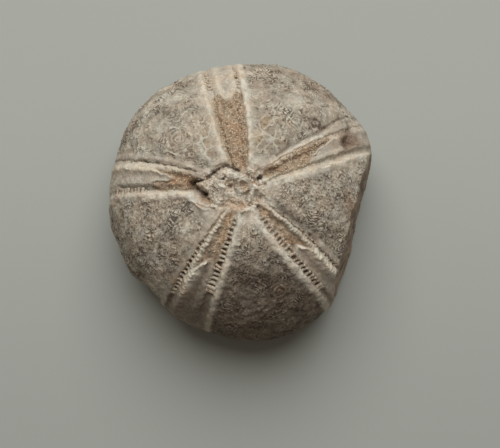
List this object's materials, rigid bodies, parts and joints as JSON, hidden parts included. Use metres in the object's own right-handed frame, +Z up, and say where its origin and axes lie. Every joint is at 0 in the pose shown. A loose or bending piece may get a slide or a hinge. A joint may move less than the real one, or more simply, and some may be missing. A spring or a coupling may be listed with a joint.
{
  "type": "fossil sea urchin",
  "caption": "Domed fossil sea urchin of pale grey-brown stone with five open petals of comb-like pore grooves, a lumpy crown, one broken side and a flat base to rest on.",
  "frame": {"origin": "middle of the bounding box on the flat base that the fossil rests on", "axes": "+Z up through the crown; +Y towards the back petal; +X towards the broken side"},
  "size_m": [0.048, 0.0504, 0.0269],
  "materials": {
    "stone": "dry, matt, weathered surface with chalky rims and brown fill in the petals"
  },
  "bodies": {
    "root": {"sea_urchin_test": "stone"}
  },
  "joints": []
}
